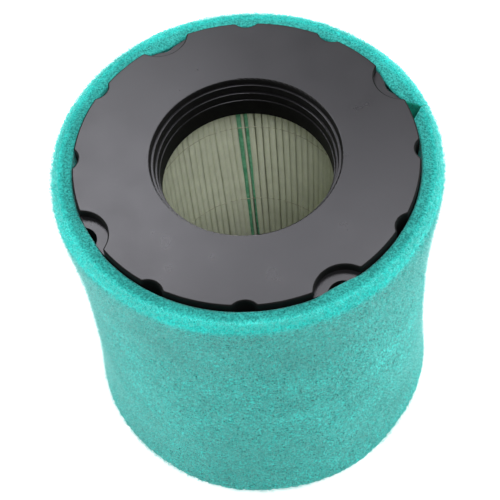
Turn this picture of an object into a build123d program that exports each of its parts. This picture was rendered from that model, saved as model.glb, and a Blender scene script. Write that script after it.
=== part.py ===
from build123d import *

import math
import os

os.makedirs("parts", exist_ok=True)

# Round air filter cartridge: pleated paper potted between two moulded end caps, with an open-cell foam
# precleaner sleeve pulled over it. Millimetres and degrees. The axis is Z, the open end is up, and the
# origin is the centre of the bottom end cap's underside.

# Cartridge
HEIGHT = 132.0
CAP_RADIUS = 57.3
CAP_EDGE_ROUND = 0.5
TOP_CAP_THICKNESS = 15.6
BOTTOM_CAP_THICKNESS = 13.0
POTTING_DEPTH = 4.0

# Rim of both caps: twelve scallops, every third one inside a half-round pocket
SCALLOPS = 12
FIRST_SCALLOP_DEG = -5.0
SCALLOP_RADIUS = 5.0
SCALLOP_DEPTH = 1.9
RIM_CORNER_ROUND = 1.2
POCKETS = 4
FIRST_POCKET_DEG = 25.0
POCKET_RADIUS = 9.6
POCKET_REACH = 5.6
POCKET_DEPTH = 3.0

# Seal bore in the top cap, from the mouth down: each ledge has a depth below the top face, the radius of
# the tapered wall where it meets the ledge, and the radius of the ledge's inner edge
MOUTH_RADIUS = 31.7
SEAL_RADIUS = 29.05
SEAL_LEDGES = [
    (2.1, 31.4, 30.6),
    (5.0, 30.3, 29.6),
    (8.2, 29.45, SEAL_RADIUS),
]
LEDGE_ROUND = 0.25

# Bottom cap: a closed web inside a standing ring
WEB_BOTTOM = 3.0
WEB_TOP = 8.0
UNDERSIDE_RECESS_RADIUS = 27.0
RECESS_SLOPE = 3.0
CHAMBER_FLOOR_RADIUS = 28.0
CHAMBER_RIM_RADIUS = 31.0

# Pleated paper
PLEATS = 90
PAPER = 0.5
FOLD_WIDTH = 1.7
MEDIA_INNER_RADIUS = 34.0
MEDIA_OUTER_RADIUS = 54.0
SEAM_PLEAT_DEG = 89.0

# Adhesive on the paper
SEAM_BEAD_REACH = (0.01, 0.2)
THREAD_THICKNESS = 0.8
THREAD_HEIGHT = 1.0
THREAD_LEVELS = (57.0, 102.5)
THREAD_SEAT = 0.02

# Foam precleaner sleeve
FOAM_BORE_RADIUS = 57.6
FOAM_BOTTOM = 0.3
FOAM_TOP = 130.5
FOAM_BORE_TOP = 129.4
FOAM_BASE_RADIUS = 66.7
FOAM_CREST_RADIUS = 66.0
FOAM_EDGE_ROUND = 3.8
FOAM_WAIST_RADIUS = 62.9
FOAM_WAIST_HEIGHT = 70.0

# Butt joint of the foam strip: a film of adhesive near the outside and an open V towards the bore
FOAM_SEAM_DEG = 13.0
FOAM_SEAM_FILM = 0.8
FOAM_SEAM_END_RADIUS = 70.0
FOAM_V_WIDTH = 8.8
FOAM_V_OVERCUT = 1.0
FOAM_V_APEX_RADIUS = 62.0

TOP_CAP_UNDERSIDE = HEIGHT - TOP_CAP_THICKNESS
MEDIA_BOTTOM = BOTTOM_CAP_THICKNESS - POTTING_DEPTH
MEDIA_TOP = TOP_CAP_UNDERSIDE + POTTING_DEPTH
PLEAT_DEG = 360 / PLEATS
foam_seam_plane = Plane.XY.rotated((0, 0, FOAM_SEAM_DEG))


def polar(radius, azimuth):
    """Point in the XY plane at a radius and an azimuth in degrees."""
    return (radius * math.cos(math.radians(azimuth)), radius * math.sin(math.radians(azimuth)))


def rim_outline(base, with_pockets):
    """Outline of an end cap: a disc with scallops and, near its flat face, the pockets."""
    with BuildSketch(base) as outline:
        Circle(CAP_RADIUS)
        with PolarLocations(CAP_RADIUS + SCALLOP_RADIUS - SCALLOP_DEPTH, SCALLOPS, FIRST_SCALLOP_DEG):
            Circle(SCALLOP_RADIUS, mode=Mode.SUBTRACT)
        if with_pockets:
            with PolarLocations(CAP_RADIUS + POCKET_RADIUS - POCKET_REACH, POCKETS, FIRST_POCKET_DEG):
                Circle(POCKET_RADIUS, mode=Mode.SUBTRACT)
        corners = [v for v in outline.vertices() if abs(v.Y) > RIM_CORNER_ROUND]
        fillet(corners, RIM_CORNER_ROUND)
    return outline.sketch


def fold_corners(upstream):
    """Corners of one face of the folded paper, pleat by pleat, with a flat at every fold."""
    inner_radius = MEDIA_INNER_RADIUS + (PAPER if upstream else 0)
    outer_radius = MEDIA_OUTER_RADIUS - (0 if upstream else PAPER)
    wide, narrow = FOLD_WIDTH / 2, FOLD_WIDTH / 2 - PAPER
    inner_flat = math.degrees((narrow if upstream else wide) / MEDIA_INNER_RADIUS)
    outer_flat = math.degrees((wide if upstream else narrow) / MEDIA_OUTER_RADIUS)
    corners = []
    for pleat in range(PLEATS):
        inner_fold = SEAM_PLEAT_DEG + pleat * PLEAT_DEG
        outer_fold = inner_fold + PLEAT_DEG / 2
        corners.append(polar(inner_radius, inner_fold - inner_flat))
        corners.append(polar(inner_radius, inner_fold + inner_flat))
        corners.append(polar(outer_radius, outer_fold - outer_flat))
        corners.append(polar(outer_radius, outer_fold + outer_flat))
    return corners


def foam_blank():
    """The foam sleeve before its seam is cut: waisted in the middle, with rounded ends."""
    crown_centre = (FOAM_CREST_RADIUS - FOAM_EDGE_ROUND, FOAM_TOP - FOAM_EDGE_ROUND)
    foot_centre = (FOAM_BASE_RADIUS - FOAM_EDGE_ROUND, FOAM_BOTTOM + FOAM_EDGE_ROUND)
    with BuildPart() as blank:
        with BuildSketch(Plane.XZ):
            with BuildLine():
                foot = CenterArc(foot_centre, FOAM_EDGE_ROUND, 270, 90)
                crown = CenterArc(crown_centre, FOAM_EDGE_ROUND, 0, 90)
                ThreePointArc(foot @ 1, (FOAM_WAIST_RADIUS, FOAM_WAIST_HEIGHT), crown @ 0)
                Polyline(crown @ 1, (FOAM_BORE_RADIUS, FOAM_BORE_TOP), (FOAM_BORE_RADIUS, FOAM_BOTTOM), foot @ 0)
            make_face()
        revolve(axis=Axis.Z)
    return blank.part


# Folded filter paper, closed into a ring and long enough to be potted in both caps
with BuildPart() as pleated_media:
    with BuildSketch(Plane.XY.offset(MEDIA_BOTTOM)):
        with BuildLine():
            Polyline(*fold_corners(upstream=True), close=True)
        make_face()
        with BuildLine():
            Polyline(*fold_corners(upstream=False), close=True)
        make_face(mode=Mode.SUBTRACT)
    extrude(amount=MEDIA_TOP - MEDIA_BOTTOM)

# Open end cap: scalloped rim, pockets sunk from the top face, stepped seal bore, slots for the paper
with BuildPart() as top_end_cap:
    extrude(rim_outline(Plane.XY.offset(TOP_CAP_UNDERSIDE), False), amount=TOP_CAP_THICKNESS - POCKET_DEPTH)
    extrude(rim_outline(Plane.XY.offset(HEIGHT - POCKET_DEPTH), True), amount=POCKET_DEPTH)
    fillet(top_end_cap.faces().sort_by(Axis.Z)[-1].outer_wire().edges(), CAP_EDGE_ROUND)
    with BuildSketch(Plane.XZ):
        with BuildLine():
            bore_points = [(0, HEIGHT), (MOUTH_RADIUS, HEIGHT)]
            for depth, wall_radius, edge_radius in SEAL_LEDGES:
                bore_points.append((wall_radius, HEIGHT - depth))
                bore_points.append((edge_radius, HEIGHT - depth))
            bore_points.append((SEAL_RADIUS, TOP_CAP_UNDERSIDE))
            bore_points.append((0, TOP_CAP_UNDERSIDE))
            Polyline(*bore_points, close=True)
        make_face()
    revolve(axis=Axis.Z, mode=Mode.SUBTRACT)
    mouth = top_end_cap.faces().sort_by(Axis.Z)[-1].inner_wires().edges()
    fillet(mouth, CAP_EDGE_ROUND)
    ledge_edges = [
        edge
        for edge in top_end_cap.edges().filter_by(GeomType.CIRCLE)
        for depth, _, edge_radius in SEAL_LEDGES
        if math.isclose(edge.radius, edge_radius) and math.isclose(edge.center().Z, HEIGHT - depth)
    ]
    fillet(ledge_edges, LEDGE_ROUND)
    add(pleated_media.part, mode=Mode.SUBTRACT)

# Closed end cap: the same rim, a recessed underside and a web that closes the clean-air chamber
with BuildPart() as bottom_end_cap:
    extrude(rim_outline(Plane.XY, True), amount=POCKET_DEPTH)
    extrude(rim_outline(Plane.XY.offset(POCKET_DEPTH), False), amount=BOTTOM_CAP_THICKNESS - POCKET_DEPTH)
    fillet(bottom_end_cap.faces().sort_by(Axis.Z)[0].outer_wire().edges(), CAP_EDGE_ROUND)
    with BuildSketch(Plane.XZ):
        with BuildLine():
            Polyline(
                (0, 0),
                (UNDERSIDE_RECESS_RADIUS, 0),
                (UNDERSIDE_RECESS_RADIUS - RECESS_SLOPE, WEB_BOTTOM),
                (0, WEB_BOTTOM),
                close=True,
            )
        make_face()
        with BuildLine():
            Polyline(
                (0, WEB_TOP),
                (CHAMBER_FLOOR_RADIUS, WEB_TOP),
                (CHAMBER_RIM_RADIUS, BOTTOM_CAP_THICKNESS),
                (0, BOTTOM_CAP_THICKNESS),
                close=True,
            )
        make_face()
    revolve(axis=Axis.Z, mode=Mode.SUBTRACT)
    add(pleated_media.part, mode=Mode.SUBTRACT)

# Two adhesive beads, one in each valley beside the pleat where the paper's ends are glued together
with BuildPart() as media_seam_beads:
    clean_corners = [Vector(*corner) for corner in fold_corners(upstream=False)]
    near, far = SEAM_BEAD_REACH
    with BuildSketch(Plane.XY.offset(BOTTOM_CAP_THICKNESS)):
        for first in (-4, 0):
            rising_foot, rising_end = clean_corners[first + 1], clean_corners[first + 2]
            falling_end, falling_foot = clean_corners[first + 3], clean_corners[first + 4]
            with BuildLine():
                Polyline(
                    rising_foot + (rising_end - rising_foot) * near,
                    rising_foot + (rising_end - rising_foot) * far,
                    falling_foot + (falling_end - falling_foot) * far,
                    falling_foot + (falling_end - falling_foot) * near,
                    close=True,
                )
            make_face()
    extrude(amount=TOP_CAP_UNDERSIDE - BOTTOM_CAP_THICKNESS)


def spacer_threads(inner_radius, outer_radius):
    """One flat ring of hot-melt adhesive at each thread level."""
    with BuildPart() as threads:
        for level in THREAD_LEVELS:
            with BuildSketch(Plane.XY.offset(level - THREAD_HEIGHT / 2)):
                Circle(outer_radius)
                Circle(inner_radius, mode=Mode.SUBTRACT)
            extrude(amount=THREAD_HEIGHT)
    return threads.part


# Spacer threads across the inner folds, and across the outer folds
with BuildPart() as inner_spacer_threads:
    add(spacer_threads(MEDIA_INNER_RADIUS - THREAD_THICKNESS, MEDIA_INNER_RADIUS - THREAD_SEAT))

with BuildPart() as outer_spacer_threads:
    add(spacer_threads(MEDIA_OUTER_RADIUS + THREAD_SEAT, MEDIA_OUTER_RADIUS + THREAD_THICKNESS))

# Foam sleeve, open along its butt joint: a V towards the bore that narrows to the adhesive film
with BuildPart() as foam_precleaner:
    add(foam_blank())
    with BuildSketch(foam_seam_plane):
        with BuildLine():
            Polyline(
                (FOAM_BORE_RADIUS - FOAM_V_OVERCUT, -FOAM_V_WIDTH / 2),
                (FOAM_V_APEX_RADIUS, -FOAM_SEAM_FILM / 2),
                (FOAM_SEAM_END_RADIUS, -FOAM_SEAM_FILM / 2),
                (FOAM_SEAM_END_RADIUS, FOAM_SEAM_FILM / 2),
                (FOAM_V_APEX_RADIUS, FOAM_SEAM_FILM / 2),
                (FOAM_BORE_RADIUS - FOAM_V_OVERCUT, FOAM_V_WIDTH / 2),
                close=True,
            )
        make_face()
    extrude(amount=HEIGHT, mode=Mode.SUBTRACT)

# Adhesive film that joins the two ends of the foam strip, from the V's apex to the sleeve's outside
with BuildPart() as foam_seam_bond:
    add(foam_blank())
    with BuildSketch(foam_seam_plane):
        with BuildLine():
            Polyline(
                (FOAM_V_APEX_RADIUS, -FOAM_SEAM_FILM / 2),
                (FOAM_SEAM_END_RADIUS, -FOAM_SEAM_FILM / 2),
                (FOAM_SEAM_END_RADIUS, FOAM_SEAM_FILM / 2),
                (FOAM_V_APEX_RADIUS, FOAM_SEAM_FILM / 2),
                close=True,
            )
        make_face()
    extrude(amount=HEIGHT, mode=Mode.INTERSECT)

nodes = {
    "top_end_cap": top_end_cap,
    "bottom_end_cap": bottom_end_cap,
    "pleated_media": pleated_media,
    "media_seam_beads": media_seam_beads,
    "inner_spacer_threads": inner_spacer_threads,
    "outer_spacer_threads": outer_spacer_threads,
    "foam_precleaner": foam_precleaner,
    "foam_seam_bond": foam_seam_bond,
}
for node, builder in nodes.items():
    builder.part.label = node
    export_step(builder.part, f"parts/{node}.step")
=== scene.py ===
import math

import bpy
import numpy as np
from mathutils import Matrix, Vector


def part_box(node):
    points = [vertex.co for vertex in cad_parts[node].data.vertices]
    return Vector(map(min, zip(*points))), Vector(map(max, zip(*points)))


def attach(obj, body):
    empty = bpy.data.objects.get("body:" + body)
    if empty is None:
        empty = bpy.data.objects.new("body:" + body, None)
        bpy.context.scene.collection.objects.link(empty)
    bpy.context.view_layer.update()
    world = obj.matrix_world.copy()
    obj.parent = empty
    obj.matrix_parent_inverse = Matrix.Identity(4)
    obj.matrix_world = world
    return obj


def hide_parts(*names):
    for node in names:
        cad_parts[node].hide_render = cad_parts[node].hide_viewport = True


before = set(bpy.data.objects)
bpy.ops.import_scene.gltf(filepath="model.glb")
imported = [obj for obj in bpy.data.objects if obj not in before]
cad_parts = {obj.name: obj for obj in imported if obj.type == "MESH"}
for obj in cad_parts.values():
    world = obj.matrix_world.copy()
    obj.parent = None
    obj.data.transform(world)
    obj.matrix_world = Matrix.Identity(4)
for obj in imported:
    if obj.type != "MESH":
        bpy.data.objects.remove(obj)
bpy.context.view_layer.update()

# Everything is in metres in the CAD frame: the cartridge's axis is Z, and the open end is up.
MM = 0.001
SEED = 11

cap_low, cap_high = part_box("top_end_cap")
media_low, media_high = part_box("pleated_media")
foam_low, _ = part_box("foam_precleaner")
_, closed_cap_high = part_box("bottom_end_cap")
TOP = cap_high.z
CHAMBER_LOW = closed_cap_high.z
CHAMBER_HIGH = cap_low.z

# ---------------------------------------------------------------------------------------------
# Camera, lights and floor
# ---------------------------------------------------------------------------------------------

FLOOR_HALF = 3.0
CAMERA_ELEVATION = math.radians(57.824)
CAMERA_ROLL = math.radians(-5.743)
CAMERA_LENS = 86.4
CAMERA_PLACE = Vector((-1.66, -236.1, 316.0)) * MM  # from the centre of the top face


def add_camera():
    """The camera looks along +Y and down, turned a little about its own line of sight."""
    level_up = Vector((0, math.sin(CAMERA_ELEVATION), math.cos(CAMERA_ELEVATION)))
    level_right = Vector((1, 0, 0))
    ahead = Vector((0, math.cos(CAMERA_ELEVATION), -math.sin(CAMERA_ELEVATION)))
    right = level_right * math.cos(CAMERA_ROLL) + level_up * math.sin(CAMERA_ROLL)
    up = level_up * math.cos(CAMERA_ROLL) - level_right * math.sin(CAMERA_ROLL)
    data = bpy.data.cameras.new("camera")
    data.lens = CAMERA_LENS
    data.sensor_width = 36
    data.clip_start = 0.01
    camera = bpy.data.objects.new("camera", data)
    bpy.context.scene.collection.objects.link(camera)
    turned = Matrix((right, up, -ahead)).transposed().to_4x4()
    camera.matrix_world = Matrix.Translation(Vector((0, 0, TOP)) + CAMERA_PLACE) @ turned
    bpy.context.scene.camera = camera


# name, place, size, power in watts, and the point it faces; the two panels face straight down
LIGHTS = (
    ("key", (0.22, -0.74, 1.64), (0.9, 0.9), 21.5, (0, 0, 0.1)),
    ("panel_left", (-0.20, 0.68, 1.13), (0.34, 0.46), 3.4, None),
    ("panel_right", (0.24, 0.52, 1.13), (0.42, 0.28), 2.0, None),
    ("side_left", (-1.20, 0.25, 0.45), (0.9, 0.6), 11, (0, 0, 0.08)),
    ("side_right", (1.20, 0.25, 0.45), (0.9, 0.6), 11, (0, 0, 0.08)),
    ("behind", (0.25, 1.40, 0.58), (1.2, 0.5), 12, (0, 0, 0.10)),
)


def add_area_light(name, place, size, power, target):
    """A soft rectangular light at place. It faces straight down, or towards target."""
    data = bpy.data.lights.new(name, "AREA")
    data.shape = "RECTANGLE"
    data.size, data.size_y = size
    data.energy = power
    light = bpy.data.objects.new(name, data)
    bpy.context.scene.collection.objects.link(light)
    light.location = place
    if target is not None:
        light.rotation_mode = "QUATERNION"
        light.rotation_quaternion = (Vector(target) - Vector(place)).to_track_quat("-Z", "Y")


def add_world():
    """An even white studio surround."""
    world = bpy.data.worlds.new("studio")
    bpy.context.scene.world = world
    world.use_nodes = True
    background = world.node_tree.nodes["Background"]
    background.inputs["Color"].default_value = (1, 1, 1, 1)
    background.inputs["Strength"].default_value = 0.22


def add_floor():
    """A wide pale floor, which isn't part of the object."""
    mesh = bpy.data.meshes.new("floor")
    corners = [(x * FLOOR_HALF, y * FLOOR_HALF, 0) for x, y in ((-1, -1), (1, -1), (1, 1), (-1, 1))]
    mesh.from_pydata(corners, [], [(0, 1, 2, 3)])
    floor = bpy.data.objects.new("floor", mesh)
    bpy.context.scene.collection.objects.link(floor)
    material = new_material("floor_white")
    shader = material.node_tree.nodes["Principled BSDF"]
    shader.inputs["Base Color"].default_value = (0.95, 0.95, 0.95, 1)
    shader.inputs["Roughness"].default_value = 0.9
    shader.inputs["Specular IOR Level"].default_value = 0.1
    shader.inputs["Emission Color"].default_value = (1, 1, 1, 1)
    shader.inputs["Emission Strength"].default_value = 0.3
    mesh.materials.append(material)


# ---------------------------------------------------------------------------------------------
# Materials
# ---------------------------------------------------------------------------------------------


def new_material(name):
    """A material with one Principled shader."""
    material = bpy.data.materials.new(name)
    material.use_nodes = True
    return material


class Nodes:
    """Short ways to add and join a material's nodes."""

    def __init__(self, material):
        self.tree = material.node_tree
        self.shader = self.tree.nodes["Principled BSDF"]
        coordinates = self.tree.nodes.new("ShaderNodeTexCoord")
        self.place = coordinates.outputs["Object"]

    def join(self, source, target):
        self.tree.links.new(source, target)

    def noise(self, scale, detail=2.0, roughness=0.5, place=None):
        node = self.tree.nodes.new("ShaderNodeTexNoise")
        node.inputs["Scale"].default_value = scale
        node.inputs["Detail"].default_value = detail
        node.inputs["Roughness"].default_value = roughness
        self.join(place or self.place, node.inputs["Vector"])
        return node.outputs["Fac"]

    def voronoi(self, scale, place=None):
        node = self.tree.nodes.new("ShaderNodeTexVoronoi")
        node.inputs["Scale"].default_value = scale
        self.join(place or self.place, node.inputs["Vector"])
        return node.outputs["Distance"]

    def ramp(self, value, stops):
        """A value turned into colours, by (value, colour) stops."""
        node = self.tree.nodes.new("ShaderNodeValToRGB")
        while len(node.color_ramp.elements) < len(stops):
            node.color_ramp.elements.new(0.5)
        for element, (at, colour) in zip(node.color_ramp.elements, stops):
            element.position = at
            element.color = (*colour, 1)
        self.join(value, node.inputs["Fac"])
        return node.outputs["Color"]

    def mix(self, factor, first, second):
        """first where factor is 0 and second where it is 1."""
        node = self.tree.nodes.new("ShaderNodeMix")
        node.data_type = "RGBA"
        for value, socket in ((factor, node.inputs[0]), (first, node.inputs[6]), (second, node.inputs[7])):
            if isinstance(value, bpy.types.NodeSocket):
                self.join(value, socket)
            elif isinstance(value, tuple):
                socket.default_value = (*value, 1)
            else:
                socket.default_value = value
        return node.outputs[2]

    def bend(self, place, scale, distance):
        """Coordinates pushed about by noise, so that a cell pattern loses its straight sides."""
        node = self.tree.nodes.new("ShaderNodeTexNoise")
        node.inputs["Scale"].default_value = scale
        self.join(place, node.inputs["Vector"])
        shift = self.tree.nodes.new("ShaderNodeVectorMath")
        shift.operation = "MULTIPLY_ADD"
        self.join(node.outputs["Color"], shift.inputs[0])
        shift.inputs[1].default_value = (distance, distance, distance)
        self.join(place, shift.inputs[2])
        return shift.outputs[0]

    def span(self, value, low, high, from_low=0.0, from_high=1.0):
        """A value's range from_low to from_high turned into low to high, held at both ends."""
        node = self.tree.nodes.new("ShaderNodeMapRange")
        node.inputs["From Min"].default_value = from_low
        node.inputs["From Max"].default_value = from_high
        node.inputs["To Min"].default_value = low
        node.inputs["To Max"].default_value = high
        self.join(value, node.inputs["Value"])
        return node.outputs["Result"]

    def bump(self, height, distance, strength):
        node = self.tree.nodes.new("ShaderNodeBump")
        node.inputs["Distance"].default_value = distance
        node.inputs["Strength"].default_value = strength
        self.join(height, node.inputs["Height"])
        return node.outputs["Normal"]

    def height(self):
        """Height above the cartridge's underside."""
        node = self.tree.nodes.new("ShaderNodeSeparateXYZ")
        self.join(self.place, node.inputs[0])
        return node.outputs["Z"]

    def stretch(self, factors):
        """Coordinates multiplied axis by axis."""
        node = self.tree.nodes.new("ShaderNodeVectorMath")
        node.operation = "MULTIPLY"
        node.inputs[1].default_value = factors
        self.join(self.place, node.inputs[0])
        return node.outputs[0]

    def radius(self):
        """Distance from the cartridge's axis."""
        node = self.tree.nodes.new("ShaderNodeVectorMath")
        node.operation = "LENGTH"
        self.join(self.stretch((1, 1, 0)), node.inputs[0])
        return node.outputs["Value"]

    def maths(self, operation, first, second):
        node = self.tree.nodes.new("ShaderNodeMath")
        node.operation = operation
        for value, socket in ((first, node.inputs[0]), (second, node.inputs[1])):
            if isinstance(value, bpy.types.NodeSocket):
                self.join(value, socket)
            else:
                socket.default_value = value
        return node.outputs[0]

    def scale(self, colour, factor):
        """A colour multiplied by a number."""
        node = self.tree.nodes.new("ShaderNodeVectorMath")
        node.operation = "SCALE"
        self.join(colour, node.inputs[0])
        self.join(factor, node.inputs["Scale"])
        return node.outputs[0]

    def finish(self, colour, roughness, specular=0.5):
        """Sets the shader's colour from a node, and its roughness and specular level as numbers."""
        self.join(colour, self.shader.inputs["Base Color"])
        self.shader.inputs["Roughness"].default_value = roughness
        self.shader.inputs["Specular IOR Level"].default_value = specular

    def relief(self, height, distance, strength):
        """Fine relief that shades the surface without moving it."""
        self.join(self.bump(height, distance, strength), self.shader.inputs["Normal"])

    def glow(self, weight, radius, scale):
        """Light that soaks into the surface and comes out beside where it went in."""
        self.shader.inputs["Subsurface Weight"].default_value = weight
        self.shader.inputs["Subsurface Radius"].default_value = radius
        self.shader.inputs["Subsurface Scale"].default_value = scale


BORE_EDGE = (32.0 * MM, 32.4 * MM)  # radii between which the seal bore turns into the flat face
BORE_TOP = (TOP - 0.35 * MM, TOP - 0.1 * MM)
CROWN = (126.3 * MM, 128.3 * MM)  # heights between which the foam's side turns into its crown
CREST = (60.4 * MM, 63.0 * MM)  # radii between which the crown turns into its outer crest
FOAM_GLOW = (0.3, 1.0, 0.95)


def urethane_material():
    """Moulded black urethane: a dull skin with cloudy mottling and a fine grain, and painted shade in the
    seal bore.
    """
    material = new_material("moulded_urethane")
    n = Nodes(material)
    clouds = n.noise(55, 4.0, 0.6)
    colour = n.ramp(clouds, [(0.3, (0.0065, 0.0064, 0.0072)), (0.7, (0.0095, 0.0092, 0.0105))])
    roughness = n.span(n.noise(90, 4.0), 0.273, 0.307, 0.3, 0.7)
    # painted shade: the seal bore's colour is darkened below the flat face, and the bore is a little
    # duller
    below = n.span(n.height(), 1.0, 0.0, *BORE_TOP)
    bore_shade_and_dullness = n.maths("MULTIPLY", below, n.span(n.radius(), 1.0, 0.0, *BORE_EDGE))
    n.finish(n.scale(colour, n.span(bore_shade_and_dullness, 1.0, 0.35)), 0.3, 0.56)
    n.join(n.maths("ADD", roughness, n.maths("MULTIPLY", bore_shade_and_dullness, 0.04)), n.shader.inputs["Roughness"])
    n.relief(n.noise(1300, 1.0, 0.5), 0.04 * MM, 0.3)
    n.shader.inputs["Specular Tint"].default_value = (0.93, 0.92, 1.0, 1)
    return material


def urethane_shaded_edge_material():
    """The same urethane on the rims' edges and the bore's walls, matt and coloured near black as painted
    shade.
    """
    material = new_material("moulded_urethane_shaded_edge")
    n = Nodes(material)
    # painted shade: darker than the flat face's colour, for the shade on edges and walls
    colour = n.ramp(n.noise(300, 3.0), [(0.3, (0.002, 0.002, 0.002)), (0.7, (0.004, 0.004, 0.004))])
    n.finish(colour, 0.7, 0.12)
    n.relief(n.noise(1500, 2.0), 0.05 * MM, 0.5)
    return material


def foam_core_material():
    """The body of the open-cell foam: pale cell walls round dark pores of different depths."""
    material = new_material("precleaner_foam")
    n = Nodes(material)
    bent = n.bend(n.place, 900, 0.7 * MM)
    large = n.ramp(n.voronoi(1250, place=bent), [(0.16, (1, 1, 1)), (0.48, (0, 0, 0))])
    small = n.ramp(n.noise(1700, 3.0, 0.6), [(0.42, (1, 1, 1)), (0.58, (0, 0, 0))])
    pore = n.mix(0.65, large, small)
    # painted light: the crown's walls are darker than the side's as painted shade, its pores show less
    # than the side's, and least on its crest, which is lighter as a painted highlight
    crown_painted_light = n.span(n.height(), 0.0, 1.0, *CROWN)
    crest = n.maths("MULTIPLY", crown_painted_light, n.span(n.radius(), 0.0, 1.0, *CREST))
    walls = n.mix(crown_painted_light, (0.055, 0.63, 0.575), (0.040, 0.43, 0.39))
    walls = n.mix(crest, walls, (0.038, 0.74, 0.68))
    pores = n.mix(crown_painted_light, (0.002, 0.06, 0.055), (0.005, 0.15, 0.137))
    pores = n.mix(crest, pores, (0.012, 0.38, 0.345))
    colour = n.mix(pore, walls, pores)
    colour = n.scale(colour, n.span(n.noise(60, 3.0), 0.88, 1.12, 0.3, 0.7))
    bands = n.span(n.noise(1.0, 2.0, place=n.stretch((14, 14, 85))), 0.9, 1.1, 0.3, 0.7)
    streaks = n.span(n.noise(1.0, 2.0, place=n.stretch((520, 520, 1250))), -0.28, 0.28, 0.32, 0.68)
    streaks = n.maths("ADD", n.maths("MULTIPLY", streaks, n.span(crown_painted_light, 1.0, 0.25)), 1.0)
    n.finish(n.scale(colour, n.maths("MULTIPLY", bands, streaks)), 0.85, 0.15)
    n.relief(pore, -0.35 * MM, 0.7)
    n.glow(0.25, FOAM_GLOW, 1.5 * MM)
    n.shader.inputs["Sheen Weight"].default_value = 0.3
    n.shader.inputs["Sheen Roughness"].default_value = 0.22
    n.shader.inputs["Sheen Tint"].default_value = (0.7, 1.0, 0.97, 1)
    return material


def foam_end_shade_material():
    """The strip's cut ends inside the seam, coloured dark green as painted shade deep in the V."""
    material = new_material("precleaner_ends_shade")
    n = Nodes(material)
    pore = n.ramp(n.voronoi(1100), [(0.20, (1, 1, 1)), (0.46, (0, 0, 0))])
    # painted shade: the ends are coloured darker than the foam's body
    n.finish(n.mix(pore, (0.002, 0.38, 0.26), (0.0, 0.22, 0.15)), 0.8)
    n.relief(pore, -0.3 * MM, 0.6)
    return material


def foam_strut_material():
    """The foam's cut cell struts, thin enough to let light through."""
    material = new_material("precleaner_struts")
    n = Nodes(material)
    # painted light: the struts on the crown are coloured brighter than those on the side, as the lit top
    side = n.ramp(n.noise(1500, 2.0), [(0.3, (0.04, 0.45, 0.41)), (0.7, (0.10, 0.75, 0.69))])
    rim = n.ramp(n.noise(1500, 2.0), [(0.3, (0.04, 0.72, 0.66)), (0.7, (0.06, 0.92, 0.85))])
    n.finish(n.mix(n.span(n.height(), 0.0, 1.0, *CROWN), side, rim), 0.5)
    n.glow(0.3, FOAM_GLOW, 1.0 * MM)
    n.shader.inputs["Sheen Weight"].default_value = 0.2
    return material


def paper_material():
    """Resin-treated filter paper: pale green-grey with fibres."""
    material = new_material("filter_paper")
    n = Nodes(material)
    colour = n.ramp(n.noise(120, 4.0, 0.6), [(0.3, (0.60, 0.63, 0.50)), (0.7, (0.69, 0.72, 0.58))])
    n.finish(colour, 0.9, 0.2)
    n.relief(n.noise(2200, 4.0, 0.7), 0.05 * MM, 0.6)
    n.glow(0.2, (1.0, 1.0, 0.7), 0.6 * MM)
    return material


def adhesive_material(name, low, high, roughness):
    """An adhesive with uneven thickness, so uneven colour."""
    material = new_material(name)
    n = Nodes(material)
    n.finish(n.ramp(n.noise(400, 3.0), [(0.35, low), (0.65, high)]), roughness)
    n.relief(n.noise(700, 2.0), 0.1 * MM, 0.5)
    return material


# ---------------------------------------------------------------------------------------------
# Mesh helpers
# ---------------------------------------------------------------------------------------------


def new_piece(name, vertices, faces, material, body, smooth=True):
    """A mesh object in the row frame that rides on a CAD body."""
    mesh = bpy.data.meshes.new(name)
    vertices = np.asarray(vertices, float)
    faces = np.asarray(faces, np.int32)
    mesh.vertices.add(len(vertices))
    mesh.vertices.foreach_set("co", vertices.ravel())
    size = faces.shape[1]
    mesh.loops.add(faces.size)
    mesh.loops.foreach_set("vertex_index", faces.ravel())
    mesh.polygons.add(len(faces))
    mesh.polygons.foreach_set("loop_start", np.arange(0, faces.size, size, dtype=np.int32))
    mesh.polygons.foreach_set("use_smooth", np.full(len(faces), smooth))
    mesh.update(calc_edges=True)
    mesh.validate()
    mesh.materials.append(material)
    piece = bpy.data.objects.new(name, mesh)
    bpy.context.scene.collection.objects.link(piece)
    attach(piece, body)
    return piece


def resample(points, count):
    """A polyline's points spread evenly along it, count spans."""
    points = np.asarray(points, float)
    steps = np.hypot(*np.diff(points, axis=0).T)
    along = np.concatenate([[0], np.cumsum(steps)])
    at = np.linspace(0, along[-1], count + 1)
    return np.stack([np.interp(at, along, points[:, i]) for i in (0, 1)], 1)


def joined_rows(index, following=None):
    """Quads between each closed row of point indexes and the row that follows it."""
    low, high = (index[:-1], index[1:]) if following is None else (index, following)
    return np.stack([low, np.roll(low, -1, 1), np.roll(high, -1, 1), high], -1).reshape(-1, 4)


def arc(centre, radius, start, end, count=12):
    """Points on an arc, angles in degrees."""
    angles = np.radians(np.linspace(start, end, count))
    return [(centre[0] + radius * math.cos(a), centre[1] + radius * math.sin(a)) for a in angles]


# ---------------------------------------------------------------------------------------------
# Foam precleaner
# ---------------------------------------------------------------------------------------------

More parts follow.
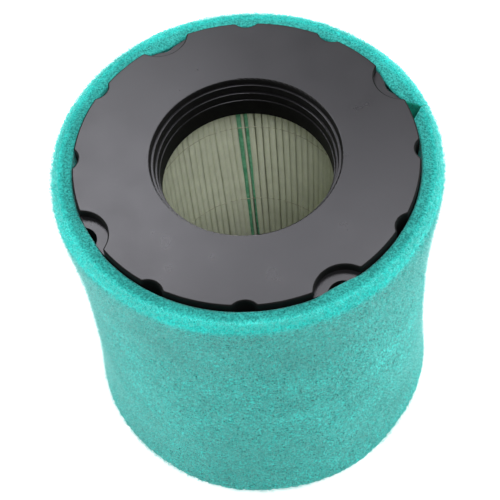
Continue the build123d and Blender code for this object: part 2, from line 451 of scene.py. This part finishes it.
# Outside radius of the sleeve at heights above its base, in millimetres
FOAM_SIDE = [
    (0, 67.6), (7, 66.5), (18, 65.0), (41, 63.9), (64, 63.6), (87, 63.1), (109, 64.3), (130, 66.0)
]
FOAM_BORE = 57.6 * MM
FOAM_SKIN = 0.8 * MM  # depth of loose struts outside the body
FOAM_CREST = 130.7 * MM
FOAM_LIP = 130.3 * MM
FOAM_GAP = 0.1 * MM  # how far the bore opens out round the cap's edge
FOAM_ROUND_TOP = 2.6 * MM
FOAM_ROUND_FOOT = 1.4 * MM
FOAM_SEAM_AZIMUTH = math.radians(13.1)
FOAM_V_HALF_WIDTH = 4.4 * MM
FOAM_V_APEX = 62.0 * MM
FOAM_FILM = 0.12 * MM  # half the gap at the glued part of the seam
FOAM_CELL = 1.05 * MM
FOAM_SECTIONS = 540
FOAM_COLUMNS = 14
SLOW_WANDER = 0.25 * MM
FINE_WANDER = 0.16 * MM
SCALLOPS = 12
FIRST_SCALLOP = math.radians(-5.0)
SCALLOP_HALF = math.radians(4.6)
SCALLOP_BULGE = 1.3 * MM
POCKETS = 4
FIRST_POCKET = math.radians(25.0)
POCKET_HALF = math.radians(8.8)
POCKET_FLOOR = TOP - 3.0 * MM
POCKET_CURLS = np.array([1.6, 1.7, 0.5, 0.9]) * MM  # pocket by pocket, from the first
STRUT_REACH = 2.5 * MM
RIM_STRUT_REACH = 1.8 * MM
STRUT_LIFT = 0.2 * MM  # no strut's tip is lower than this above the floor
SIDE_STRUTS = 45000
RIM_STRUTS = 12000


def foam_side_radius(height):
    """Outside radius at a height, as one smooth curve through the sizes above."""
    heights = np.array([h for h, _ in FOAM_SIDE]) * MM
    radii = np.array([r for _, r in FOAM_SIDE]) * MM
    curve = np.polynomial.Polynomial.fit(heights, radii, 5)
    return float(curve(height))


def foam_sides(inset):
    """The four sides of the sleeve's section as (radius, height) lines, inset from its outside."""
    base = foam_low.z
    crest = FOAM_CREST - inset
    foot = base + inset
    out_top = foam_side_radius(crest - FOAM_ROUND_TOP - base) - inset
    out_foot = foam_side_radius(FOAM_ROUND_FOOT) - inset
    top_arc = arc((out_top - FOAM_ROUND_TOP, crest - FOAM_ROUND_TOP), FOAM_ROUND_TOP, 0, 90)
    foot_arc = arc((out_foot - FOAM_ROUND_FOOT, foot + FOAM_ROUND_FOOT), FOAM_ROUND_FOOT, 270, 360)
    heights = np.linspace(foot + FOAM_ROUND_FOOT, crest - FOAM_ROUND_TOP, 40)
    side = [(foam_side_radius(h - base) - inset, h) for h in heights]
    half = len(top_arc) // 2
    outer = foot_arc[half:] + side[1:-1] + top_arc[: half + 1]
    lip_height = FOAM_LIP - inset
    lip = [(FOAM_BORE + FOAM_GAP, lip_height - 0.4 * MM)]
    lip += [(FOAM_BORE + FOAM_GAP + 0.3 * MM, lip_height)]
    lip += [(FOAM_BORE + FOAM_GAP + 1.1 * MM, lip_height + 0.2 * MM)]
    top = lip + top_arc[half:][::-1]
    bottom = [(FOAM_BORE, foot)] + foot_arc[: half + 1]
    inner = [(FOAM_BORE, foot), (FOAM_BORE, lip_height - 9 * MM), (lip[0][0], lip_height - 6 * MM), lip[0]]
    return bottom, outer, top, inner


def seam_half_width(radius):
    """Half the gap between the strip's ends at a radius: an open V that closes towards the outside."""
    reach = (radius - FOAM_BORE) / (FOAM_V_APEX - FOAM_BORE)
    return np.maximum(FOAM_V_HALF_WIDTH * (1 - reach), FOAM_FILM)


def waves(azimuth, height, rng, count, low, high, size):
    """A sum of slow waves over the sleeve."""
    total = np.zeros_like(azimuth)
    for _ in range(count):
        around = rng.integers(low, high)
        up = rng.uniform(-1, 1) * 60
        total += np.sin(around * azimuth + up * height + rng.uniform(0, 2 * math.pi))
    return total * size / math.sqrt(count)


def scallop_bulge(azimuth, height):
    """How far the foam swells into the scallops in the cap's rim."""
    pitch = 2 * math.pi / SCALLOPS
    off = (azimuth - FIRST_SCALLOP + pitch / 2) % pitch - pitch / 2
    across = np.clip(1 - (off / SCALLOP_HALF) ** 2, 0, 1)
    top = np.clip((FOAM_LIP - 2.6 * MM - height) / (3.0 * MM), 0, 1)
    foot = np.clip((height - CHAMBER_HIGH) / (4 * MM), 0, 1)
    return SCALLOP_BULGE * across * top * foot


def pocket_curl(azimuth, radius, height):
    """How far the sleeve's lip curls inwards over the pockets in the cap's rim."""
    pitch = 2 * math.pi / POCKETS
    turn = azimuth - FIRST_POCKET + pitch / 2
    curl = POCKET_CURLS[(turn // pitch).astype(int) % POCKETS]
    across = np.clip(1 - ((turn % pitch - pitch / 2) / POCKET_HALF) ** 2, 0, 1) ** 1.5
    near = np.clip(1 - (radius - FOAM_BORE - 0.5 * MM) / (3.5 * MM), 0, 1)
    return curl * across * near * (height > POCKET_FLOOR)


def foam_section():
    """The sleeve's section as a grid of (radius, height), and the grid indexes round its outline.

    The grid is blended from its four sides, and its outline runs anticlockwise.
    """
    bottom, outer, top, inner = foam_sides(FOAM_SKIN)
    rows, columns = round(TOP / FOAM_CELL), FOAM_COLUMNS
    bottom, top = resample(bottom, columns), resample(top, columns)
    outer, inner = resample(outer, rows), resample(inner, rows)
    s = np.linspace(0, 1, columns + 1)[None, :, None]
    t = np.linspace(0, 1, rows + 1)[:, None, None]
    grid = (1 - t) * bottom[None] + t * top[None] + (1 - s) * inner[:, None] + s * outer[:, None]
    grid -= (1 - s) * (1 - t) * bottom[0] + s * (1 - t) * bottom[-1]
    grid -= (1 - s) * t * top[0] + s * t * top[-1]
    ring = [(0, i) for i in range(columns)]
    ring += [(j, columns) for j in range(rows)]
    ring += [(rows, i) for i in range(columns, 0, -1)]
    ring += [(j, 0) for j in range(rows, 0, -1)]
    return grid, np.array(ring)


def strip_azimuth(radius, share):
    """Azimuth at a share of the way along the foam strip, from one of its ends to the other."""
    gap = seam_half_width(radius) / radius
    return FOAM_SEAM_AZIMUTH + gap + share * (2 * math.pi - 2 * gap)


def outward(path, tangent):
    """A section line's normals, on the right of its direction."""
    tangent = tangent / np.linalg.norm(tangent, axis=1)[:, None]
    return tangent, np.stack([tangent[:, 1], -tangent[:, 0]], 1)


def on_cylinder(radius, azimuth, height):
    """Points in space from their radius, azimuth and height."""
    return np.stack([radius * np.cos(azimuth), radius * np.sin(azimuth), height], -1)


def foam_skin(outline):
    """The outline swept round from one end of the strip to the other, with an uneven surface."""
    rng = np.random.default_rng(SEED)
    _, normal = outward(outline, np.roll(outline, -1, 0) - np.roll(outline, 1, 0))
    radius, height = outline[None, :, 0], outline[None, :, 1]
    azimuth = strip_azimuth(radius, np.linspace(0, 1, FOAM_SECTIONS + 1)[:, None])
    wander = waves(azimuth, height + 0 * azimuth, rng, 8, 2, 9, SLOW_WANDER)
    wander += rng.normal(0, FINE_WANDER, azimuth.shape)
    # the bore keeps its size, so only the outside and the ends are uneven
    wander *= np.clip(normal[None, :, 0] + 0.6 * np.abs(normal[None, :, 1]), 0, 1)
    moved = radius + normal[None, :, 0] * wander
    moved -= scallop_bulge(azimuth, height) * (radius < FOAM_BORE + 0.6 * MM)
    moved -= pocket_curl(azimuth, radius, height)
    return on_cylinder(moved, azimuth, height + normal[None, :, 1] * wander)


def add_foam(material, end_shade_material):
    """The sleeve's body: one closed strip bent round, its ends meeting at the V."""
    grid, ring = foam_section()
    points = foam_skin(grid[ring[:, 0], ring[:, 1]])
    sections, length = points.shape[:2]
    index = np.arange(sections * length).reshape(sections, length)
    skin = joined_rows(index)
    quads, vertices = [skin], [points.reshape(-1, 3)]
    count = sections * length
    for end, share in ((0, 0.0), (sections - 1, 1.0)):
        lookup = np.zeros(grid.shape[:2], int)
        lookup[ring[:, 0], ring[:, 1]] = index[end]
        inside = grid[1:-1, 1:-1]
        turn = strip_azimuth(inside[..., 0], share)
        vertices.append(on_cylinder(inside[..., 0], turn, inside[..., 1]).reshape(-1, 3))
        lookup[1:-1, 1:-1] = count + np.arange(turn.size).reshape(turn.shape)
        count += turn.size
        corners = (lookup[:-1, :-1], lookup[1:, :-1], lookup[1:, 1:], lookup[:-1, 1:])
        face = np.stack(corners, -1).reshape(-1, 4)
        quads.append(face[:, ::-1] if end else face)
    quads = np.concatenate(quads)
    piece = new_piece(
        "precleaner_foam", np.concatenate(vertices), quads, material, "precleaner"
    )
    piece.data.materials.append(end_shade_material)
    at_ends = np.arange(len(quads)) >= len(skin)
    piece.data.polygons.foreach_set("material_index", at_ends.astype(np.int32))
    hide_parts("foam_precleaner")


def add_struts(name, sides, count, reach, material, seed):
    """Loose cell struts over part of the section's outline: thin splinters in all directions."""
    rng = np.random.default_rng(seed)
    path = resample(sides, 400)
    tangent, normal = outward(path, np.gradient(path, axis=0))
    pick = rng.integers(0, len(path), count)
    at = path[pick] + tangent[pick] * rng.uniform(-0.2, 0.2, (count, 1)) * MM
    gap = (seam_half_width(at[:, 0]) + 0.3 * MM) / at[:, 0]
    turn = FOAM_SEAM_AZIMUTH + gap + rng.uniform(0, 1, count) * (2 * math.pi - 2 * gap)
    away = normal[pick]
    radial = np.stack([np.cos(turn), np.sin(turn), np.zeros(count)], 1)
    round_about = np.stack([-np.sin(turn), np.cos(turn), np.zeros(count)], 1)
    up = np.array([[0, 0, 1.0]])
    out = radial * away[:, :1] + up * away[:, 1:]
    along = radial * tangent[pick][:, :1] + up * tangent[pick][:, 1:]
    foot = radial * at[:, :1] + up * at[:, 1:]
    lift = rng.uniform(0.05, 1.0, (count, 1))
    spin = rng.uniform(0, 2 * math.pi, (count, 1))
    flat = np.sqrt(1 - lift**2)
    direction = out * lift + flat * (along * np.cos(spin) + round_about * np.sin(spin))
    length = rng.uniform(0.5, 1.0, (count, 1)) * reach
    half = rng.uniform(0.035, 0.07, (count, 1)) * MM
    start = foot + out * rng.uniform(-0.3, 0.3, (count, 1)) * MM
    side_a = np.cross(direction, up + 0.01)
    side_a /= np.linalg.norm(side_a, axis=1)[:, None]
    side_b = np.cross(direction, side_a)
    corners = [start + half * (math.cos(a) * side_a + math.sin(a) * side_b) for a in (0, 2.09, 4.19)]
    tip = start + direction * length
    tip[:, 2] = np.maximum(tip[:, 2], STRUT_LIFT)
    vertices = np.stack([*corners, tip], 1).reshape(-1, 3)
    base = (np.arange(count) * 4)[:, None, None]
    shape = np.array([[0, 2, 1], [0, 1, 3], [1, 2, 3], [2, 0, 3]])[None]
    faces = (base + shape).reshape(-1, 3)
    new_piece(name, vertices, faces, material, "precleaner")


def add_seam_film(material):
    """The thin film of adhesive between the strip's ends, from the V to just under the surface."""
    rng = np.random.default_rng(SEED + 4)
    _, outer, _, _ = foam_sides(FOAM_SKIN + 0.5 * MM)
    outer = resample(outer, 90)
    outer = outer[outer[:, 0] > FOAM_V_APEX + 0.8 * MM]
    edge = FOAM_V_APEX + rng.uniform(0.2, 0.5, len(outer)) * MM
    half = FOAM_FILM * 0.9
    ahead = np.array([math.cos(FOAM_SEAM_AZIMUTH), math.sin(FOAM_SEAM_AZIMUTH), 0])
    across = np.array([-ahead[1], ahead[0], 0])
    rows = []
    for (radius, height), inner in zip(outer, edge):
        up = np.array([0, 0, height])
        rows.append([up + ahead * inner + across * half, up + ahead * radius + across * half])
        rows[-1] += [up + ahead * radius - across * half, up + ahead * inner - across * half]
    vertices = np.array(rows).reshape(-1, 3)
    count = len(rows)
    index = np.arange(count * 4).reshape(count, 4)
    ends = np.array([index[0][::-1], index[-1]])
    quads = np.concatenate([joined_rows(index), ends])
    piece = new_piece(
        "precleaner_seam_film", vertices, quads, material, "precleaner", smooth=False
    )
    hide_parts("foam_seam_bond")


def add_precleaner():
    """Body, struts and seam of the foam sleeve."""
    add_foam(foam_core_material(), foam_end_shade_material())
    _, outer, top, _ = foam_sides(FOAM_SKIN)
    struts = foam_strut_material()
    third = len(outer) // 3
    for name, part, seed in (
        ("struts_low", outer[: third + 1], SEED + 1),
        ("struts_middle", outer[third : 2 * third + 1], SEED + 7),
        ("struts_high", outer[2 * third :], SEED + 2),
    ):
        add_struts(name, part, SIDE_STRUTS, STRUT_REACH, struts, seed)
    add_struts("struts_rim", top[3:][::-1], RIM_STRUTS, RIM_STRUT_REACH, struts, SEED + 3)
    add_seam_film(adhesive_material("foam_adhesive", (0.01, 0.34, 0.29), (0.02, 0.50, 0.44), 0.5))


# ---------------------------------------------------------------------------------------------
# Pleated paper
# ---------------------------------------------------------------------------------------------

PLEATS = 90
PAPER = 0.5 * MM
FOLD_RADIUS = 34.0 * MM
FOLD_HALF = 1.12 * MM  # half the width of a fold's rounded tip
FOLD_DEPTH = 0.85 * MM
OUTER_FOLD_HALF = 1.1 * MM
SEAM_FOLD_HALF = 0.56 * MM
SEAM_PLEAT = math.radians(89.0)
LEAN_LEVEL = 85 * MM


def pleat_spacing():
    """Azimuths of the inner folds, from the seam pleat round and back to it, in radians.

    The folds stand apart on both sides of the seam, where the adhesive shows between them. They
    crowd together on one side of it and spread on the other.
    """
    pitch = np.full(PLEATS, np.nan)
    pitch[0] = 5.0
    pitch[1:7] = 3.6
    pitch[-13:-1] = 4.2
    pitch[-1] = 4.7
    free = np.isnan(pitch)
    pitch[free] = (360 - np.nansum(pitch)) / free.sum()
    return SEAM_PLEAT + np.radians(np.concatenate([[0], np.cumsum(pitch)]))


PLEAT_AZIMUTHS = pleat_spacing()


def fold_azimuth(position, height):
    """Azimuth of a fold at a height; beside the seam the pleats lean over a little."""
    even = np.interp(position % PLEATS, np.arange(PLEATS + 1), PLEAT_AZIMUTHS)
    off = math.degrees(even) - 99
    off -= 360 * round(off / 360)
    lean = math.radians(1.2) * math.exp(-((off / 14) ** 2)) / (30 * MM)
    return even + lean * (height - LEAN_LEVEL)


def add_paper(material):
    """The folded paper as one closed ring with rounded folds, each pleat a little different."""
    rng = np.random.default_rng(SEED + 5)
    levels = np.linspace(media_low.z, media_high.z, 28)
    jitter = rng.normal(0, math.radians(0.12), 2 * PLEATS)
    reach = rng.normal(0, 0.10 * MM, 2 * PLEATS)
    phase = rng.uniform(0, 2 * math.pi, 2 * PLEATS)
    jitter[0] = reach[0] = 0
    arc_steps = np.radians(np.linspace(-90, 90, 9))
    rings = []
    for upstream in (True, False):
        columns = []
        for fold in range(2 * PLEATS):
            inward = fold % 2 == 0
            half = FOLD_HALF if inward else OUTER_FOLD_HALF
            if fold == 0:
                half = SEAM_FOLD_HALF
            depth = FOLD_DEPTH
            if inward == upstream:
                half -= PAPER * 0.8
                depth *= 0.6
            ripple = math.radians(0.10) * np.sin(levels * 95 + phase[fold])
            centre = fold_azimuth(fold / 2, levels) + jitter[fold] + ripple
            edge = FOLD_RADIUS if inward else media_high.x - 0.2 * MM
            sign = 1 if inward else -1
            shift = PAPER if inward == upstream else 0
            for step in arc_steps:
                rise = depth * (1 - math.cos(step) ** 0.8)
                radius = edge + sign * (reach[fold] + shift + rise)
                columns.append((radius + 0 * levels, centre + half * math.sin(step) / edge))
        radius = np.array([c[0] for c in columns])
        azimuth = np.array([c[1] for c in columns])
        rings.append(on_cylinder(radius, azimuth, 0 * radius + levels))
    outer_sheet, inner_sheet = rings
    around, up = outer_sheet.shape[:2]
    first = np.arange(around * up).reshape(around, up)
    second = first + around * up
    quads = []
    for sheet, flip in ((first, False), (second, True)):
        near, far = sheet, np.roll(sheet, -1, 0)
        face = np.stack([near[:, :-1], far[:, :-1], far[:, 1:], near[:, 1:]], -1).reshape(-1, 4)
        quads.append(face[:, ::-1] if flip else face)
    for level, flip in ((0, True), (up - 1, False)):
        near_a, far_a = first[:, level], np.roll(first[:, level], -1)
        near_b, far_b = second[:, level], np.roll(second[:, level], -1)
        face = np.stack([near_a, far_a, far_b, near_b], -1)
        quads.append(face[:, ::-1] if flip else face)
    vertices = np.concatenate([outer_sheet.reshape(-1, 3), inner_sheet.reshape(-1, 3)])
    quads = np.concatenate(quads)
    piece = new_piece("pleated_paper", vertices, quads, material, "cartridge")
    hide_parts("pleated_media")


def add_tube(name, centres, half_across, half_deep, across, deep, material, closed=False):
    """A tube of oval section along points, with its two section directions given at each point."""
    corners = 10
    angles = np.linspace(0, 2 * math.pi, corners, endpoint=False)
    ring = half_across[:, None, None] * np.cos(angles)[None, :, None] * across[:, None]
    ring = ring + half_deep[:, None, None] * np.sin(angles)[None, :, None] * deep[:, None]
    points = centres[:, None] + ring
    count = len(centres)
    index = np.arange(count * corners).reshape(count, corners)
    quads = joined_rows(index, np.roll(index, -1, 0) if closed else None)
    if not closed:
        caps = []
        for row in (index[0][::-1], index[-1]):
            for k in range(1, corners - 2, 2):
                caps.append([row[0], row[k], row[k + 1], row[k + 2]])
        quads = np.concatenate([quads, caps])
    return new_piece(name, points.reshape(-1, 3), quads, material, "cartridge")


def add_seam_beads(material):
    """Adhesive squeezed out between the folds on both sides of the seam pleat."""
    rng = np.random.default_rng(SEED + 6)
    levels = np.linspace(CHAMBER_LOW - 2 * MM, CHAMBER_HIGH + 2 * MM, 60)
    for name, offset, half in (("media_seam_left", 2.05, 0.92), ("media_seam_right", -2.2, 0.70)):
        turn = np.array([fold_azimuth(0, level) for level in levels]) + math.radians(offset)
        out = np.stack([np.cos(turn), np.sin(turn), 0 * turn], 1)
        round_about = np.stack([-np.sin(turn), np.cos(turn), 0 * turn], 1)
        sway = 0.08 * MM * np.sin(levels * 260 + rng.uniform(0, 6))
        taper = np.interp(levels, (50 * MM, 95 * MM), (0.72, 1.0))
        wide = half * MM * taper * (1 + 0.06 * np.sin(levels * 410 + rng.uniform(0, 6)))
        centres = out * (FOLD_RADIUS + 0.75 * MM) + round_about * sway[:, None]
        centres[:, 2] = levels
        deep = np.full(len(levels), 0.55 * MM)
        piece = add_tube(name, centres, wide, deep, round_about, out, material)
        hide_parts("media_seam_beads")


THREAD_SPACING = 45.5 * MM
THREADS = (
    ("inner_thread", "inner_spacer_threads", FOLD_RADIUS + 0.02 * MM, 0.14 * MM),
    ("outer_thread", "outer_spacer_threads", media_high.x + 0.05 * MM, 0.3 * MM),
)


def add_threads(material):
    """Thin beads of hot melt round the folds, inside and out, that keep the pleats apart."""
    for name, node, radius, thick in THREADS:
        low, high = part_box(node)
        lift = (high.z - low.z - THREAD_SPACING) / 2
        for part, level in (("low", low.z + lift), ("high", high.z - lift)):
            turn = np.linspace(0, 2 * math.pi, 720, endpoint=False)
            out = np.stack([np.cos(turn), np.sin(turn), 0 * turn], 1)
            up = np.tile([0, 0, 1.0], (len(turn), 1))
            centres = out * radius
            centres[:, 2] = level + 0.12 * MM * np.sin(7 * turn) + 0.08 * MM * np.sin(23 * turn)
            thickness = thick * (1 + 0.2 * np.sin(41 * turn))
            piece = add_tube(
                f"{name}_{part}", centres, thickness, thickness, out, up, material, closed=True
            )
            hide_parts(node)


# ---------------------------------------------------------------------------------------------
# End caps
# ---------------------------------------------------------------------------------------------

# A face is part of an edge when its normal's Z is below the tilt given for its place; edges get the matt
# material with painted shade
RIM_INNER = 45 * MM
RIM_TILT = 0.998
SEAL_OUTER = 33 * MM
MOUTH_BOTTOM = 131 * MM
MOUTH_TILT = 0.9  # the mouth's rounded edge is matt, with painted shade, nearly up to the flat face
SEAL_TILT = 0.3  # the seal's walls are matt, with painted shade, and the rounded edges between them aren't


def keep_cap(node, material, shaded_edge_material):
    """A CAD end cap that keeps its shape: glossier flat faces, and matt rim edges and bore walls in
    painted shade.
    """
    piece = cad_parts[node]
    piece.data.materials.clear()
    piece.data.materials.append(material)
    piece.data.materials.append(shaded_edge_material)
    for polygon in piece.data.polygons:
        radius = math.hypot(polygon.center.x, polygon.center.y)
        lean = abs(polygon.normal.z)
        seal_tilt = MOUTH_TILT if polygon.center.z > MOUTH_BOTTOM else SEAL_TILT
        if (radius > RIM_INNER and lean < RIM_TILT) or (radius < SEAL_OUTER and lean < seal_tilt):
            polygon.material_index = 1


# ---------------------------------------------------------------------------------------------
# The scene
# ---------------------------------------------------------------------------------------------

bpy.context.scene.view_settings.view_transform = "Standard"
add_camera()
add_world()
add_floor()
for light in LIGHTS:
    add_area_light(*light)

urethane = urethane_material()
urethane_shaded_edge = urethane_shaded_edge_material()
keep_cap("top_end_cap", urethane, urethane_shaded_edge)
keep_cap("bottom_end_cap", urethane, urethane_shaded_edge)
add_paper(paper_material())
add_seam_beads(adhesive_material("green_adhesive", (0.08, 0.34, 0.18), (0.19, 0.50, 0.31), 0.4))
add_threads(adhesive_material("hot_melt", (0.36, 0.37, 0.27), (0.45, 0.46, 0.34), 0.4))
add_precleaner()
